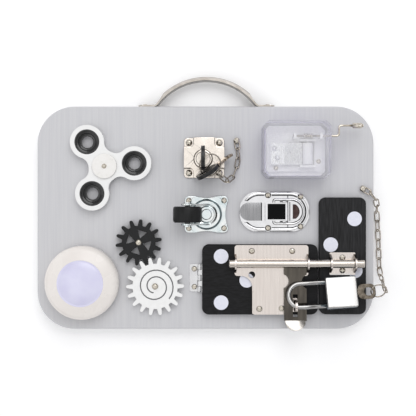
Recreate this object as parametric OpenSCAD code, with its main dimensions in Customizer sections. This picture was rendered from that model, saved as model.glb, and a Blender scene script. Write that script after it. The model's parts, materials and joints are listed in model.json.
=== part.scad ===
// Wooden busy board: a carrying board with hardware for small hands to turn, press, flip and unlock.
// The board lies on its back. X runs to the right, Y towards the carrying handle and Z out of the
// front face. The origin is the centre of the back face. All sizes are in millimetres.

/* [Board] */
// Width of the board
board_w = 300; // [290:1:330]
// Height of the board
board_h = 198.5; // [190:0.5:220]
// Thickness of the board
board_t = 15; // [12:0.5:18]
// Corner radius of the board
board_r = 33; // [20:1:40]
// Chamfer on the board's edges
board_edge = 0.8; // [0.4:0.1:1.5]

/* [Carrying handle] */
// Distance between the bends at the arch's ends
handle_span = 95.4; // [84:0.2:110]
// Height of the arch over the board's edge
handle_rise = 27.6; // [22:0.2:34]
// Length of each flat foot
handle_foot = 13.5; // [12:0.5:18]
// Width of the strap
strap_w = 13; // [10:0.5:14]
// Thickness of the strap
strap_t = 1.6; // [1.2:0.1:2]
// Height of the rounded crown on the strap
strap_crown = 2.4; // [1.5:0.1:3]

/* [Fidget spinner] */
// Distance of the weights from the centre
spinner_reach = 26.5; // [25:0.5:30]
// Width of each lobe
lobe_d = 30; // [28:0.5:33]
// Thickness of the spinner
spinner_t = 7; // [6:0.5:9]
// Outer width of a weight ring
weight_d = 22; // [20:0.5:24]
// Hole in a weight ring
weight_hole = 10.5; // [8:0.5:14]

/* [Gears] */
// Module of the two gears
gear_module = 2.6; // [2.5:0.05:2.8]
// Teeth of the white gear
white_teeth = 18; // [16:2:20]
// Teeth of the black gear
black_teeth = 14; // [12:2:16]
// Thickness of the gears
gear_t = 4.5; // [3:0.5:6]
// Spindle on which each gear turns
spindle_d = 4; // [3:0.5:5]

/* [Tap light] */
// Outer width of the light
light_d = 65; // [62:0.5:70]
// Height of the light
light_h = 22.5; // [21.5:0.5:26]
// Width of the lens
lens_d = 40.5; // [36:0.5:44]
// Travel of the cover when it is pressed
light_travel = 1.2; // [0.6:0.1:1.6]

/* [Drawer lock] */
// Side of the lock case
lock_w = 36; // [34:0.5:40]
// Height of the lock case
lock_h = 7.5; // [7:0.5:9]
// Barrel that stands out of the case
barrel_d = 16; // [15:0.5:18]
// Height of the barrel over the case
barrel_rise = 3.5; // [2:0.5:5]
// Width of the key head
key_head_w = 21.2; // [20:0.1:21.4]
// Thickness of the key head
key_head_t = 3.3; // [3:0.1:3.4]

/* [Music box] */
// Width of the clear case
music_w = 59; // [57:0.5:64]
// Depth of the clear case
music_d = 50; // [48:0.5:54]
// Height of the clear case
music_h = 27; // [25:0.5:32]
// Wall of the clear case
music_wall = 2.2; // [1.6:0.1:2.6]
// Reach of the crank arm
crank_arm = 9; // [8:0.5:10]
// Wire of the crank
crank_d = 2; // [1.6:0.1:2.4]

/* [Caster] */
// Length of the caster plate
caster_w = 38.8; // [36:0.2:42]
// Width of the caster plate
caster_l = 32.7; // [30:0.1:36]
// Wheel across its tread
wheel_d = 25; // [22:0.5:26]
// Width of the wheel
wheel_w = 14; // [12:0.5:15]
// Distance of the axle from the swivel axis
caster_trail = 16.5; // [15:0.5:17]

/* [Toggle latch] */
// Length of the latch
latch_w = 62; // [60:0.5:66]
// Width of the latch
latch_l = 35.6; // [34:0.2:40]
// Wire of the bail
bail_d = 2; // [1.6:0.1:2.2]
// Width of the lever
lever_w = 16; // [14:0.5:17]

/* [Door and side panel] */
// Width of the door
door_w = 102.5; // [98:0.5:103]
// Height of the door
door_l = 62.2; // [60:0.2:66]
// Thickness of both panels
panel_t = 6; // [5:0.5:8]
// Width of the side panel
side_w = 41.6; // [40:0.2:44]
// Length of the side panel
side_l = 103.7; // [100:0.5:106]
// Width of the round dots
dot_d = 12.9; // [10:0.1:14]

/* [Bolt] */
// Rod of the bolt
rod_d = 7.4; // [6.5:0.1:8]
// Thickness of the bolt's plates
plate_t = 1.5; // [1.2:0.1:1.8]
// Width of the hasp tab
tab_w = 19.8; // [18:0.2:21]
// Thickness of the hasp tab
tab_t = 1.8; // [1.4:0.1:2]

/* [Padlock] */
// Length of the padlock body
padlock_l = 26.8; // [25:0.2:30]
// Width of the padlock body
padlock_w = 27.2; // [26:0.2:30]
// Thickness of the padlock body
padlock_t = 13; // [11:0.5:13.5]
// Wire of the shackle
shackle_d = 4; // [3.4:0.1:4.4]
// Distance between the legs of the shackle
shackle_gap = 20.8; // [19.5:0.1:21.5]

/* [Chains] */
// Length of a chain link
link_l = 11.4; // [10.5:0.1:12.5]
// Width of a chain link
link_w = 5.4; // [5:0.1:6]
// Wire of a chain link
link_d = 1.2; // [1:0.05:1.3]

/* [Hidden] */
$fn = 64;

// clearances
press_gap = 0.02;   // radial room of a screw or ring that is pressed home
run_gap = 0.05;     // radial room of a shaft that turns in its bore
slide_gap = 0.3;    // room beside a piece that slides or swings past another
face = board_t;     // height of the board's front face
fine = 180;         // facets on a large outline that is drawn with offsets

// screws, all with cross recesses
screw_d = 3;
screw_head = 6;
screw_head_h = 1.6;
screw_len = 10;

// ---------------------------------------------------------------- shared shapes

module slab_corner(r, t, c) {
    rotate_extrude($fn = 96) polygon([[0, 0], [r - c, 0], [r, c], [r, t - c], [r - c, t], [0, t]]);
}

module slab_bar(l, w, t, c) {
    rotate([90, 0, 90]) translate([0, 0, -l / 2]) linear_extrude(l)
        polygon([[-w / 2 + c, 0], [w / 2 - c, 0], [w / 2, c], [w / 2, t - c], [w / 2 - c, t],
                 [-w / 2 + c, t], [-w / 2, t - c], [-w / 2, c]]);
}

// a plate with round corners and chamfered edges, standing on z = 0
module slab(w, h, t, r, c) {
    for (sx = [-1, 1], sy = [-1, 1]) translate([sx * (w / 2 - r), sy * (h / 2 - r), 0]) slab_corner(r, t, c);
    slab_bar(w - 2 * r, h, t, c);
    rotate(90) slab_bar(h - 2 * r, w, t, c);
}

module round_rect(w, h, r) {
    offset(r) square([w - 2 * r, h - 2 * r], center = true);
}

// a tube between two radii
module ring(outer, inner, h) {
    difference() {
        cylinder(d = outer, h = h);
        translate([0, 0, -1]) cylinder(d = inner, h = h + 2);
    }
}

module torus(r, wire) {
    rotate_extrude($fn = 72) translate([r, 0]) circle(d = wire, $fn = 32);
}

// a pan-head screw whose head stands on z = 0
module screw(d = screw_d, head = screw_head, head_h = screw_head_h, len = screw_len) {
    dome = (head * head / 4 + head_h * head_h) / (2 * head_h);
    slot = head * 0.62;
    difference() {
        intersection() {
            cylinder(d = head, h = head_h, $fn = 48);
            translate([0, 0, head_h - dome]) sphere(r = dome, $fn = 96);
        }
        for (a = [45, 135]) rotate(a) translate([-slot / 2, -slot / 9, head_h * 0.5]) cube([slot, slot / 4.5, head_h]);
    }
    translate([0, 0, -len + d * 0.5]) cylinder(d = d, h = len - d * 0.5 + head_h * 0.2, $fn = 48);
    translate([0, 0, -len]) cylinder(d1 = d * 0.1, d2 = d, h = d * 0.5, $fn = 48);
}

// the hole that a screw is driven into, open towards +Z
module screw_hole(d = screw_d, len = screw_len) {
    translate([0, 0, -len - 0.5]) cylinder(d = d + 2 * press_gap, h = len + 20, $fn = 48);
}

// ---------------------------------------------------------------- board

module board() {
    color("#C6C7C9") difference() {
        slab(board_w, board_h, board_t, board_r, board_edge);
        for (s = [-1, 1]) handle_screw_place(s) screw_hole(len = handle_screw_len);
        translate([spinner_x, spinner_y, face]) screw_hole(len = screw_len);
        for (g = [white_at, black_at]) translate([g[0], g[1], face]) screw_hole(spindle_d, screw_len);
        for (p = lock_screw_at) translate([p[0], p[1], face]) screw_hole();
        for (p = [lock_chain_screw, padlock_chain_screw]) translate([p[0], p[1], face])
            screw_hole(chain_screw_d);
        for (p = caster_screw_at) translate([p[0], p[1], face]) screw_hole();
        for (p = latch_screw_at) translate([p[0], p[1], face]) screw_hole();
        for (p = hinge_screw_at) translate([p[0], p[1], face]) screw_hole();
        for (p = music_screw_at) translate([p[0], p[1], face]) screw_hole();
    }
}

// ---------------------------------------------------------------- carrying handle

handle_x = 0.8;
handle_band = handle_rise - strap_crown;   // height of the flat strap under the crown
handle_bend = 4;
handle_drop = strap_t + handle_bend - handle_band;
handle_r = (handle_span * handle_span / 4 + handle_drop * handle_drop - handle_bend * handle_bend)
    / (2 * (handle_bend - handle_drop));
handle_lean = asin(handle_span / 2 / (handle_r + handle_bend));
handle_centre = board_h / 2 + handle_band - handle_r;
crown_lean = handle_lean - 3;
crown_w = strap_w - 0.6;
crown_r = (crown_w * crown_w / 4 + strap_crown * strap_crown) / (2 * strap_crown);
crown_low = handle_r - 0.3;
crown_slope = 14;
handle_screw_len = 14;

module handle_screw_place(side) {
    translate([handle_x + side * (handle_span / 2 + handle_foot * 0.55), board_h / 2 + strap_t, board_t / 2])
        rotate([-90, 0, 0]) children();
}

function arc(at, r, a, b, steps) = [for (i = [0 : steps])
    at + r * [cos(a + (b - a) * i / steps), sin(a + (b - a) * i / steps)]];

// one face of the bent strap from the right foot over the arch to the left foot
function strap_edge(bend, arch) = concat(
    arc([handle_span / 2, board_h / 2 + strap_t + handle_bend], bend, 270, 270 - handle_lean, 12),
    [for (i = [1 : 59]) let (a = 90 - handle_lean + handle_lean * i / 30)
        [arch * cos(a), handle_centre + arch * sin(a)]],
    arc([-handle_span / 2, board_h / 2 + strap_t + handle_bend], bend, handle_lean - 90, -90, 12));

function backwards(list) = [for (i = [len(list) - 1 : -1 : 0]) list[i]];

module handle_strap() {
    end = handle_span / 2 + handle_foot;
    intersection() {
        linear_extrude(strap_w + 2, center = true) polygon(concat(
            [[end + 1, board_h / 2], [end + 1, board_h / 2 + strap_t]], strap_edge(handle_bend, handle_r),
            [[-end - 1, board_h / 2 + strap_t], [-end - 1, board_h / 2]],
            backwards(strap_edge(handle_bend + strap_t, handle_r - strap_t))));
        translate([0, board_h / 2 - 1, 0]) rotate([-90, 0, 0]) linear_extrude(handle_rise + 5)
            round_rect(2 * end, strap_w, 4);
    }
}

module handle() {
    color("#CFC9C2") translate([handle_x, 0, board_t / 2]) difference() {
        union() {
            handle_strap();
            difference() {
                translate([0, handle_centre, 0]) rotate(90 - crown_lean)
                    rotate_extrude(angle = 2 * crown_lean, $fn = 180) intersection() {
                        translate([handle_r + strap_crown - crown_r, 0]) circle(r = crown_r, $fn = 96);
                        translate([handle_r - strap_t / 2, -strap_w / 2]) square([strap_t + strap_crown, strap_w]);
                    }
                for (m = [0, 1]) mirror([m, 0, 0]) translate([0, handle_centre, 0]) rotate(90 - crown_lean)
                    translate([crown_low, 0, 0]) rotate(-crown_slope) translate([0, -strap_w, -strap_w])
                        cube([strap_w, 3 * strap_w, 2 * strap_w]);
            }
        }
        for (s = [-1, 1]) translate([-handle_x, 0, -board_t / 2]) handle_screw_place(s)
            translate([0, 0, -3 * strap_t]) cylinder(d = screw_d + 0.4, h = 6 * strap_t);
    }
}

module handle_screws() {
    color("#D8D4CE") for (s = [-1, 1]) handle_screw_place(s) screw(len = handle_screw_len);
}

// ---------------------------------------------------------------- fidget spinner

spinner_x = -89.3;
spinner_y = 45.5;
spinner_turn = 5.7;
spinner_z = face + 1.5;
bearing_d = 22;
race_split_d = 15;
bearing_bore = 8;
spinner_cap_t = 1.6;
spinner_top = spinner_z + spinner_t + slide_gap + spinner_cap_t;

module at_spinner() { translate([spinner_x, spinner_y, 0]) rotate(spinner_turn) children(); }

module spinner_outline() {
    offset(r = -9, $fn = 72) offset(r = 9, $fn = 72) union() {
        circle(d = lobe_d - 2);
        for (a = [0 : 120 : 240]) rotate(a) translate([spinner_reach, 0]) circle(d = lobe_d);
    }
}

module spinner_body() {
    color("#F4F4F3") at_spinner() difference() {
        translate([0, 0, spinner_z]) linear_extrude(spinner_t) spinner_outline();
        for (a = [0 : 120 : 240]) rotate(a) translate([spinner_reach, 0, 0])
            cylinder(d = weight_d + 2 * press_gap, h = board_w);
        cylinder(d = bearing_d + 2 * press_gap, h = board_w);
    }
}

module spinner_weights() {
    rim = 1.4;
    dish = (weight_d - weight_hole) / 2 - rim;
    color("#202021") at_spinner() for (a = [0 : 120 : 240]) rotate(a) translate([spinner_reach, 0, spinner_z])
        rotate_extrude() translate([weight_hole / 2, 0]) polygon([[0, 0], [dish + rim, 0],
            [dish + rim, spinner_t], [dish, spinner_t], [dish, spinner_t - 1], [dish * 0.6, spinner_t - 1.5],
            [dish * 0.5, spinner_t - 2.4], [dish * 0.2, spinner_t - 3], [0, spinner_t - 3]]);
}

module spinner_bearing_outer() {
    color("#C9CBCE") at_spinner() translate([0, 0, spinner_z]) ring(bearing_d, race_split_d, spinner_t);
}

module spinner_bearing_inner() {
    color("#B7B9BD") at_spinner() translate([0, 0, face]) union() {
        translate([0, 0, spinner_z - face]) ring(race_split_d - 2 * run_gap, bearing_bore, spinner_t);
        ring(bearing_bore + 3, screw_d + 0.4, spinner_z - face);
    }
}

module spinner_cap() {
    color("#F1F0EE") at_spinner() difference() {
        translate([0, 0, spinner_z + spinner_t]) union() {
            translate([0, 0, slide_gap]) slab_corner(bearing_d / 2, spinner_cap_t, 0.4);
            cylinder(d = bearing_bore + 3, h = slide_gap + 0.1);
            translate([0, 0, -3]) cylinder(d = bearing_bore - 2 * press_gap, h = 3.1);
        }
        cylinder(d = screw_d + 0.4, h = board_w);
    }
}

module spinner_screw() {
    color("#BDB9B4") translate([spinner_x, spinner_y, spinner_top])
        screw(head = 4.4, len = spinner_top - face + screw_len);
}

// ---------------------------------------------------------------- gears

gear_mesh_angle = 110.6;
gear_distance = gear_module * (white_teeth + black_teeth) / 2;
white_at = [-44.7, -60.9];
black_at = white_at + gear_distance * [cos(gear_mesh_angle), sin(gear_mesh_angle)];
gear_addendum = 0.9;       // in modules, above the pitch circle
gear_dedendum = 1.32;      // in modules, below the pitch circle
tooth_root_w = 1.55;       // in modules
tooth_tip_w = 1.1;         // in modules
gear_z = face + 1.2;
white_phase = 110.6;       // a gap of the white gear faces the black gear

function tooth(a, n) = let (m = gear_module, r0 = m * (n / 2 - gear_dedendum), r1 = m * (n / 2 + gear_addendum),
        w0 = m * tooth_root_w / 2, w1 = m * tooth_tip_w / 2)
    [for (p = concat([[r0, -w0]], [for (b = [-90 : 30 : 90]) [r1 - w1 + w1 * cos(b), w1 * sin(b)]], [[r0, w0]]))
        [p[0] * cos(a) - p[1] * sin(a), p[0] * sin(a) + p[1] * cos(a)]];

module gear_outline(n, phase) {
    polygon([for (i = [0 : n - 1]) each tooth(phase + i * 360 / n, n)]);
}

module gear_white() {
    color("#F5F5F4") translate([white_at[0], white_at[1], gear_z]) difference() {
        linear_extrude(gear_t) gear_outline(white_teeth, white_phase + 180 / white_teeth);
        translate([0, 0, gear_t - spiral_depth]) linear_extrude(gear_t) spiral_outline();
        translate([0, 0, -1]) cylinder(d = spindle_d + 2 * run_gap, h = gear_t + 2);
    }
}

// engraved spiral: the radius grows steadily with the angle
spiral_depth = 0.6;
spiral_w = 1.1;
spiral_start = 257;
spiral_turns = 1.83;
spiral_r0 = 5.8;
spiral_r1 = 16.6;
spiral_steps = 48;

module spiral_outline() {
    function at(i, side) = let (a = spiral_start - 360 * spiral_turns * i / spiral_steps,
            r = spiral_r0 + (spiral_r1 - spiral_r0) * i / spiral_steps + side * spiral_w / 2)
        [r * cos(a), r * sin(a)];
    polygon(concat([for (i = [0 : spiral_steps]) at(i, 1)], [for (i = [spiral_steps : -1 : 0]) at(i, -1)]));
}

module gear_black() {
    window_in = 4.4;
    window_out = gear_module * (black_teeth / 2 - gear_dedendum) - 4.6;
    color("#1E1F21") translate([black_at[0], black_at[1], gear_z]) difference() {
        linear_extrude(gear_t) gear_outline(black_teeth, gear_mesh_angle + 180);
        for (k = [0 : 3]) rotate(73 + 90 * k) translate([0, 0, -1]) linear_extrude(gear_t + 2)
            offset(0.4, $fn = 16) polygon([[window_in, 0], [window_out, 3.9], [window_out, -3.9]]);
        translate([0, 0, -1]) cylinder(d = spindle_d + 2 * run_gap, h = gear_t + 2);
    }
}

module gear_screws() {
    color("#D2CFC9") for (g = [white_at, black_at]) translate([g[0], g[1], gear_z + gear_t + slide_gap])
        screw(d = spindle_d, head = 5.6, head_h = 1.6, len = gear_t + slide_gap + gear_z - face + screw_len);
}

module gear_washers() {
    color("#B9BABD") for (g = [white_at, black_at]) translate([g[0], g[1], face])
        ring(9, spindle_d + 0.2, gear_z - face - slide_gap);
}

// ---------------------------------------------------------------- tap light

light_x = -109.2;
light_y = -57.3;
light_wall = 1.6;
light_skirt = face + light_travel + slide_gap;   // lower rim of the cover
light_top = face + light_h;
base_d = light_d - 7;
lens_rise = 3;
lens_seat = light_top - lens_rise;
battery_d = 10.3;
battery_l = 44.5;
circuit_z = face + light_wall + battery_d + 0.3;
base_top = circuit_z + 1.2;
rim_r = 7.5;               // radius of the bezel's rounded shoulder

module at_light() { translate([light_x, light_y, 0]) children(); }

module light_base() {
    color("#E9E4DF") at_light() difference() {
        translate([0, 0, face]) cylinder(d = base_d, h = base_top - face, $fn = 128);
        translate([0, 0, face + light_wall]) cylinder(d = base_d - 2 * light_wall, h = light_h, $fn = 128);
    }
}

// the bezel's section is a quarter-round shoulder that runs into a gently sloping top
function bezel_curve(inset) = let (r = rim_r - inset, c = [light_d / 2 - rim_r, lens_seat - 1.6 - rim_r])
    concat([for (a = [0 : 9 : 72]) c + r * [cos(a), sin(a)]], [[lens_d / 2 + inset * 0.4, lens_seat + 0.3 - inset]]);

module light_bezel() {
    guide_w = 1.8;
    guide = base_d / 2 + run_gap;
    inner = bezel_curve(light_wall);
    color("#EDE6E0") at_light() difference() {
        rotate_extrude($fn = 128) polygon(concat([[light_d / 2 - light_wall, light_skirt], [light_d / 2, light_skirt]],
            bezel_curve(0), [for (i = [len(inner) - 1 : -1 : 0]) inner[i]]));
    }
    color("#EDE6E0") at_light() rotate_extrude($fn = 128) polygon([[guide, light_skirt + 1],
        [light_d / 2 - light_wall + 0.4, light_skirt + 1], [light_d / 2 - light_wall + 0.4, light_skirt + 2.6],
        [guide + guide_w, light_skirt + 2.6], [guide + guide_w, light_skirt + 5], [guide, light_skirt + 5]]);
}

module light_lens() {
    cap = lens_d / 2 - press_gap;
    dome = (cap * cap + lens_rise * lens_rise) / (2 * lens_rise);
    thick = 1.5;
    color("#DAD8F0") at_light() union() {
        difference() {
            translate([0, 0, light_top - dome]) sphere(r = dome, $fn = 200);
            translate([0, 0, light_top - dome]) sphere(r = dome - thick, $fn = 200);
            translate([0, 0, lens_seat - 2 * dome]) cylinder(r = 2 * dome, h = 2 * dome);
        }
        translate([0, 0, lens_seat - light_wall - 0.8]) ring(2 * cap + 3, 2 * cap - 3, 0.8);
        translate([0, 0, lens_seat - light_wall - 0.1]) ring(2 * cap, 2 * cap - 3, light_wall + 0.5);
    }
}

module light_circuit() {
    color("#4D7C56") at_light() translate([0, 0, circuit_z]) {
        cylinder(d = base_d - 2 * light_wall - 2 * press_gap, h = 1.6, $fn = 128);
        for (a = [0 : 120 : 240]) rotate(a + 20) translate([9, 0, 1.5]) slab_corner(2.5, 1.4, 0.4);
        translate([2, 1, 1.5]) slab_corner(3, 1.2, 0.5);
    }
}

module light_batteries() {
    color("#9A9DA3") at_light() for (k = [-1 : 1])
        translate([0, k * (battery_d + 0.2), face + light_wall + battery_d / 2]) rotate([0, 90, 0]) union() {
            translate([0, 0, -battery_l / 2]) cylinder(d = battery_d, h = battery_l - 1);
            translate([0, 0, battery_l / 2 - 1.1]) cylinder(d = 3.8, h = 1.1);
        }
}

// ---------------------------------------------------------------- drawer lock

lock_x = -1.2;
lock_y = 53.2;
barrel_x = lock_x - 0.9;
barrel_y = lock_y - 1.2;
lock_wall = 1.2;
notch = 8.6;
flange_t = 1.5;
lock_top = face + lock_h;
barrel_top = lock_top + barrel_rise;
lock_screw_in = lock_w / 2 - 4.5;
lock_screw_at = [for (sx = [-1, 1], sy = [-1, 1]) [lock_x + sx * lock_screw_in, lock_y + sy * lock_screw_in]];
plug_d = 12;
cam_r = 4.6;
cam_d = 2.4;
lock_throw = 2 * cam_r * sin(45);   // travel of the bolt in a quarter turn
lock_bolt_w = 14;
lock_bolt_z = face + 1.4;
lock_bolt_t = 3.6;
barrel_z = lock_bolt_z + lock_bolt_t + slide_gap;
lock_bolt_back = lock_y - 11.5;

module lock_case_outline(shrink) {
    difference() {
        round_rect(lock_w - 2 * shrink, lock_w - 2 * shrink, 2.5);
        for (sx = [-1, 1], sy = [-1, 1]) translate([sx * lock_w / 2, sy * lock_w / 2])
            round_rect(2 * notch + 2 * shrink, 2 * notch + 2 * shrink, 3.5);
    }
}

module lock_case() {
    color("#DAD5CD") difference() {
        translate([lock_x, lock_y, face]) union() {
            linear_extrude(lock_h) lock_case_outline(0);
            linear_extrude(flange_t) round_rect(lock_w, lock_w, 3.5);
        }
        translate([lock_x, lock_y, face - 1]) linear_extrude(lock_h + 1 - lock_wall) lock_case_outline(lock_wall);
        translate([barrel_x, barrel_y, face]) cylinder(d = barrel_d + 2 * press_gap, h = lock_h + 1);
        translate([barrel_x - lock_bolt_w / 2 - slide_gap, lock_y, lock_bolt_z - slide_gap])
            cube([lock_bolt_w + 2 * slide_gap, lock_w, lock_bolt_t + 2 * slide_gap]);
        for (p = lock_screw_at) translate([p[0], p[1], face]) cylinder(d = screw_d + 0.4, h = lock_h);
    }
}

// pressed plate that closes the case and carries the rails of the bolt
module lock_backplate() {
    rail = 1.4;
    rail_l = lock_w - 2 * notch - 2 * lock_wall - 0.4;
    color("#B4B2AE") translate([0, 0, face]) {
        translate([lock_x, lock_y, 0]) linear_extrude(1) lock_case_outline(lock_wall + 0.1);
        for (s = [-1, 1]) translate([barrel_x + s * (lock_bolt_w / 2 + slide_gap + rail / 2) - rail / 2,
            lock_y - rail_l / 2, 0]) cube([rail, rail_l, lock_bolt_z - face + lock_bolt_t]);
    }
}

module lock_barrel() {
    color("#E0DCD4") difference() {
        translate([barrel_x, barrel_y, barrel_z]) union() {
            translate([0, 0, 1]) slab_corner(barrel_d / 2, barrel_top - barrel_z - 1, 0.6);
            cylinder(d = barrel_d - 1, h = 1.5);
        }
        translate([barrel_x, barrel_y, 0]) cylinder(d = plug_d + 2 * run_gap, h = board_w);
    }
}

module at_barrel() { translate([barrel_x, barrel_y, 0]) children(); }

key_blade_t = 2.2;
key_blade_w = 7;
key_hole = 8;
key_blade_tip = lock_bolt_z + lock_bolt_t + 1.6;

module lock_plug() {
    color("#C9C5BE") at_barrel() difference() {
        union() {
            translate([0, 0, lock_bolt_z + lock_bolt_t + slide_gap]) cylinder(d = plug_d,
                h = barrel_top - lock_bolt_z - lock_bolt_t - slide_gap - 0.4);
            rotate(-135) translate([0, cam_r, lock_bolt_z + 0.1]) cylinder(d = cam_d, h = lock_bolt_t + 1, $fn = 32);
        }
        translate([-key_blade_t / 2 - press_gap, -key_blade_w / 2 - press_gap, key_blade_tip - press_gap])
            cube([key_blade_t + 2 * press_gap, key_blade_w + 2 * press_gap, lock_h + barrel_rise]);
    }
}

// the bolt is driven by the cam pin of the plug, which runs in a cross slot
module lock_bolt() {
    slot_w = cam_d + 2 * slide_gap;
    color("#A9A7A3") difference() {
        translate([barrel_x - lock_bolt_w / 2, lock_bolt_back, lock_bolt_z])
            cube([lock_bolt_w, lock_y + lock_w / 2 - lock_bolt_back - 0.2, lock_bolt_t]);
        translate([barrel_x + lock_throw / 2 - slot_w / 2, barrel_y - lock_throw / 2 - slot_w / 2, 0])
            cube([cam_r - lock_throw / 2 + slot_w, slot_w, board_w]);
    }
}

key_head_h = 22;
key_head_z = barrel_top + 1.4;

// outline of a key head with its shoulder, standing on the blade, in the XY plane
key_hole_y = key_head_h - key_hole / 2 - 2;

module key_head_outline() {
    difference() {
        offset(r = -3, $fn = 96) offset(r = 3, $fn = 96) union() {
            translate([0, key_head_h / 2 + 0.6]) resize([key_head_w, key_head_h - 1.2]) circle(d = key_head_h, $fn = 96);
            translate([-4.3, 0]) square([8.6, 4]);
        }
        translate([0, key_hole_y]) circle(d = key_hole, $fn = 48);
    }
}

module key(blade) {
    color("#1D1D1F") translate([0, 0, -key_head_t / 2]) linear_extrude(key_head_t) key_head_outline();
    color("#B9B1A6") translate([-key_blade_w / 2, -blade, -key_blade_t / 2])
        difference() {
            cube([key_blade_w, blade + 0.1, key_blade_t]);
            for (k = [0 : 2]) translate([key_blade_w - 1 - 0.5 * (k % 2), 1.5 + k * 3.4, -1]) cube([2, 2, key_blade_t + 2]);
            translate([key_blade_w * 0.35, -1, key_blade_t - 0.5]) cube([1.2, blade - 2, 1]);
        }
}

module lock_key() {
    at_barrel() translate([0, 0, key_head_z]) rotate([90, 0, 90]) key(key_head_z - key_blade_tip - press_gap);
}

module lock_screws() {
    color("#D8D5CF") for (p = lock_screw_at) translate([p[0], p[1], face + flange_t]) rotate(p[0] * 7) screw();
}

// The ring passes through the hole of the key in the lock, level and across the barrel's axis, so the key
// can be turned inside it. From there it slopes down and away, to the spare key and the chain.
ring_wire = 1.2;
spare_ring_r = 9.7;
spare_ring_turn = -45;
spare_ring_dip = 27;
spare_hook = -106.6;         // where the spare key hangs, as an angle round the ring

module at_spare_ring() {
    translate([barrel_x, barrel_y, key_head_z + key_hole_y]) rotate([0, 0, spare_ring_turn])
        rotate([0, spare_ring_dip, 0]) children();
}

module spare_key_ring() {
    color("#BCB8B2") at_spare_ring() translate([spare_ring_r, 0, 0]) torus(spare_ring_r, ring_wire);
}

// a point round the ring, in the board's directions
function spare_ring_at(a) = let (x = spare_ring_r * (1 - cos(a)), y = spare_ring_r * sin(a),
        c = x * cos(spare_ring_dip), t = spare_ring_turn)
    [barrel_x + c * cos(t) - y * sin(t), barrel_y + c * sin(t) + y * cos(t),
     key_head_z + key_hole_y - x * sin(spare_ring_dip)];

spare_heading = 37;
spare_dip = 22.8;            // how far the spare key's blade points down
spare_roll = -12.8;          // turn about the key's own length
spare_seat = [1.5, -0.2];    // where the ring's wire lies in the key's hole, off its centre
spare_blade = 16.5;

module spare_key() {
    translate(spare_ring_at(spare_hook)) rotate(spare_heading) rotate([90, 0, 0]) rotate(90 - spare_dip)
        rotate([0, spare_roll, 0]) translate([-spare_seat[0], -key_hole_y - spare_seat[1], 0]) key(spare_blade);
}

// ---------------------------------------------------------------- chains

// each link is given by its lie in degrees: [turn in plan, climb, roll about its own length]
link_play = 0.5;
link_pitch = link_l - 2 * link_d - link_play;

module link() {
    bend = (link_w - link_d) / 2;
    straight = (link_l - link_w) / 2;
    for (k = [0, 1]) rotate(180 * k) {
        translate([straight, 0, 0]) rotate(-90) rotate_extrude(angle = 180, $fn = 48)
            translate([bend, 0]) circle(d = link_d, $fn = 32);
        translate([-straight, bend, 0]) rotate([0, 90, 0]) cylinder(d = link_d, h = 2 * straight, $fn = 32);
    }
}

function link_step(h) = link_pitch * [cos(h[0]) * cos(h[1]), sin(h[0]) * cos(h[1]), sin(h[1])];
function chain_joint(start, headings, i) = i == 0 ? start
    : chain_joint(start, headings, i - 1) + link_step(headings[i - 1]);

module chain(start, headings) {
    for (i = [0 : len(headings) - 1]) translate((chain_joint(start, headings, i)
            + chain_joint(start, headings, i + 1)) / 2)
        rotate([0, -headings[i][1], headings[i][0]]) rotate([headings[i][2], 0, 0]) link();
}

chain_screw_d = 2.2;         // the eye link lies round this shank
chain_screw_lift = link_d + 1.6;
lock_chain_screw = [27.7, 68.6];
lock_chain_start = [lock_chain_screw[0] - 0.1, lock_chain_screw[1] + 1, face + link_d / 2 + 0.25];
lock_chain_lie = [[-82, 12, 0], [-87, 0, 60], [-101, 1, -30], [-111, 8, -90], [-140, 34, 20], [144, 40, -30],
    [135, 46, 90]];
padlock_chain_screw = [140, 25.9];
padlock_chain_start = [padlock_chain_screw[0] - 0.9, padlock_chain_screw[1] + 0.5, face + link_d / 2 + 0.3];
padlock_chain_lie = [[-30, 16, 0], [-50, -4, -70], [-68, -46, 10], [-80, -50, -60], [-84, -13, 30], [-87, 0, -35],
    [-87, 0, 35], [-88, 0, -35], [-88, 0, 35], [-89, 5, -35], [-90, 45, 40], [-90, 57, -30], [-90, 63, -90],
    [-90, 60, -30]];

module lock_chain() {
    color("#B5ADA2") chain(lock_chain_start, lock_chain_lie);
}

module padlock_chain() {
    color("#B5ADA2") {
        chain(padlock_chain_start, padlock_chain_lie);
        at_padlock() translate([pull_ring_at, 0, 0]) rotate([45, 0, 0]) translate([pull_ring_r, 0, 0])
            torus(pull_ring_r, ring_wire);
    }
}

// ---------------------------------------------------------------- music box

music_x = 79.4;
music_y = 59.4;
music_top = face + music_h;
music_corner = 8;
music_floor = face + 1.4;
music_screw_at = [[62.5, 44], [100.4, 50]];
shaft_y = 71.7;
shaft_z = face + 15;
worm_d = 4.4;
drum_gear_d = 11;
drum_x = 90.2;
drum_z = shaft_z - worm_d / 2 - drum_gear_d / 2 - 0.2;
drum_d = 9;
drum_axle = 1.6;
drum_from = 47;
drum_to = 65.8;
crank_x = 116.8;            // where the crank's arm stands
knob_from = 128.6;
knob_to = 136.9;
knob_d = 4.8;
crank_pin_d = 1.8;
crank_bend = 2.2;

module music_outline(shrink) {
    offset(r = 2) offset(delta = music_corner - 2 - shrink * 0.4, chamfer = true)
        square([music_w - 2 * music_corner - shrink * 1.2, music_d - 2 * music_corner - shrink * 1.2], center = true);
}

module music_case() {
    color("#E8EAF4", 0.4) difference() {
        translate([music_x, music_y, face]) linear_extrude(music_h) music_outline(0);
        translate([music_x, music_y, face - 1]) linear_extrude(music_h + 1 - music_wall) music_outline(music_wall);
        translate([music_x, shaft_y, shaft_z]) rotate([0, 90, 0]) cylinder(d = crank_d + 1, h = music_w, $fn = 32);
        translate([music_x, music_y, music_top - 0.5]) cylinder(d = 2, h = 1, $fn = 32);
    }
}

bed_from = [54.5, 41];
bed_t = 4;
bed_to = [103.5, 75.5];
post_w = 2.2;
shaft_posts = [77.2, 100.2];
cheeks = [44.4, 67.4];

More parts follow.
